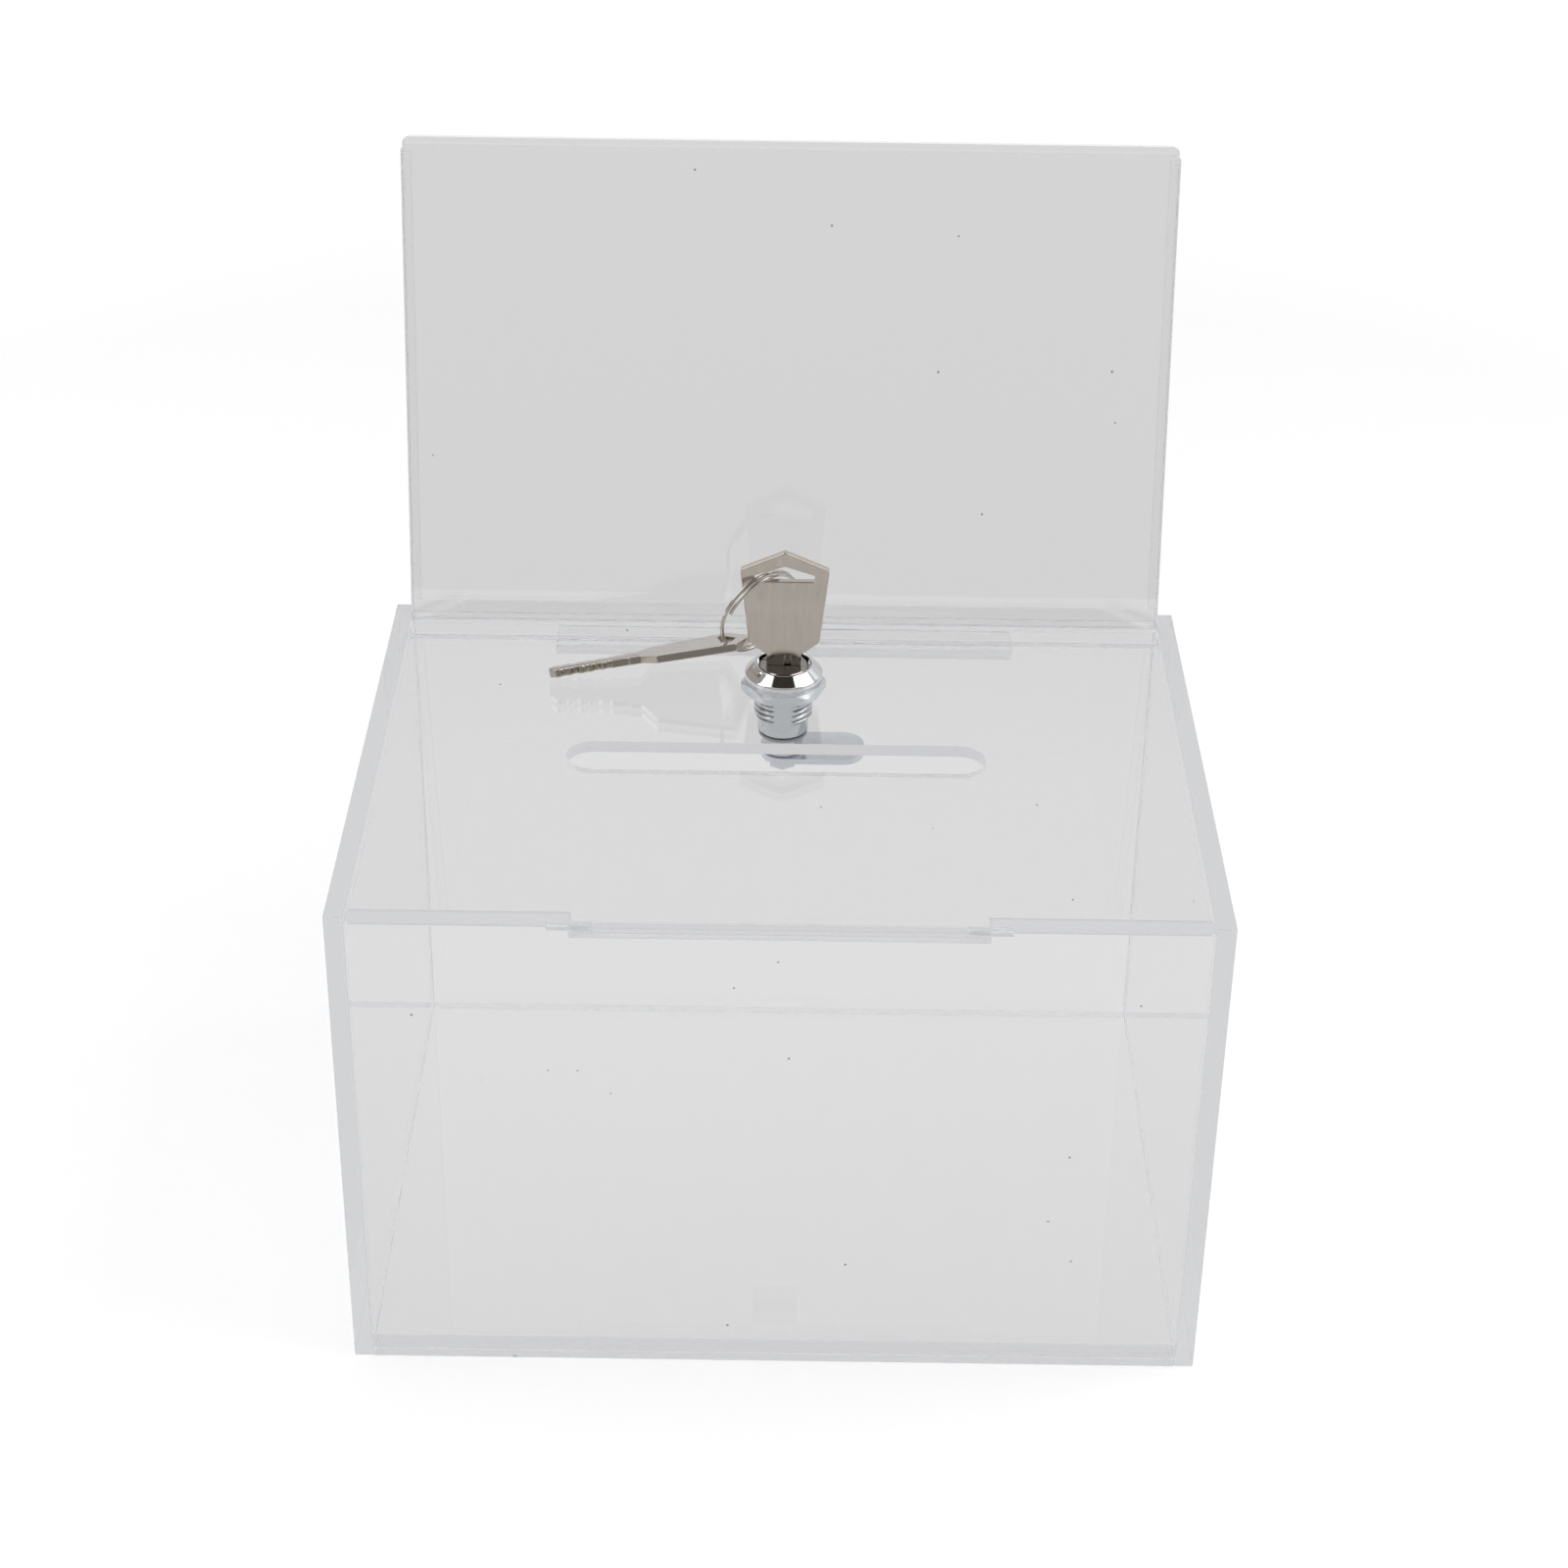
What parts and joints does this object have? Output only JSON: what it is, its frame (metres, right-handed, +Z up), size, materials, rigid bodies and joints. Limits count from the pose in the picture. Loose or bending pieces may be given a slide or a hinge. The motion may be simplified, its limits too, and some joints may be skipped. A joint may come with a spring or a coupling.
{
  "type": "ballot box",
  "caption": "Clear acrylic ballot box with a slotted lid hinged at the front, a leaning sign holder behind it, a cam lock, a key in the lock and a spare key on a split ring.",
  "frame": {"origin": "middle of the box's underside, in the plan centre of the four walls", "axes": "+Z up, -Y to the front where the lid is hinged, +Y to the sign holder, +X to the right seen from the front"},
  "size_m": [0.2, 0.1729, 0.2426],
  "materials": {
    "clear_acrylic": "clear and polished",
    "chrome_plate": "bright chrome plate",
    "zinc_plate": "zinc plate",
    "brass_wafer": "stamped",
    "spring_steel": "plain",
    "nickel_plate": "nickel plate over brass",
    "nickel_wire": "nickel plate"
  },
  "bodies": {
    "box": {"base_panel": "clear_acrylic", "front_panel": "clear_acrylic", "back_panel": "clear_acrylic", "left_side_panel": "clear_acrylic", "right_side_panel": "clear_acrylic", "rear_deck": "clear_acrylic", "keeper_strip": "clear_acrylic", "keeper_block": "clear_acrylic", "sign_front_sheet": "clear_acrylic", "sign_rear_sheet": "clear_acrylic", "sign_bottom_spacer": "clear_acrylic", "sign_left_spacer": "clear_acrylic", "sign_right_spacer": "clear_acrylic", "hinge_pins": "clear_acrylic"},
    "lid": {"lid_panel": "clear_acrylic", "lock_housing": "chrome_plate", "lock_nut": "zinc_plate"},
    "core": {"lock_plug": "chrome_plate", "lock_wafers": "brass_wafer", "plug_retaining_ring": "spring_steel", "lock_cam": "zinc_plate", "tooth_washer": "zinc_plate", "cam_screw": "zinc_plate"},
    "main_key": {"main_key": "nickel_plate"},
    "key_ring": {"key_ring": "nickel_wire"},
    "spare_key": {"spare_key": "nickel_plate"}
  },
  "joints": [
    {"name": "lid_hinge", "type": "hinge", "parent": "box", "child": "lid", "pos_m": [0, -0.0718, 0.1223], "axis": [1, 0, 0], "range_deg": [0, 180]},
    {"name": "core_turn", "type": "hinge", "parent": "lid", "child": "core", "pos_m": [0, 0.0408, 0.1238], "axis": [0, 0, 1], "range_deg": [0, 90]},
    {"name": "key_slide", "type": "slide", "parent": "core", "child": "main_key", "axis": [0, 0, 1], "range_m": [0, 0.022]},
    {"name": "ring_swing", "type": "hinge", "parent": "main_key", "child": "key_ring", "pos_m": [-0.00427, 0.0408, 0.15132], "axis": [0, 0, 1], "range_deg": [0, 30]},
    {"name": "spare_key_swing", "type": "hinge", "parent": "key_ring", "child": "spare_key", "pos_m": [-0.01397, 0.03915, 0.13283], "axis": [0, 0, 1], "range_deg": [0, 15]}
  ]
}
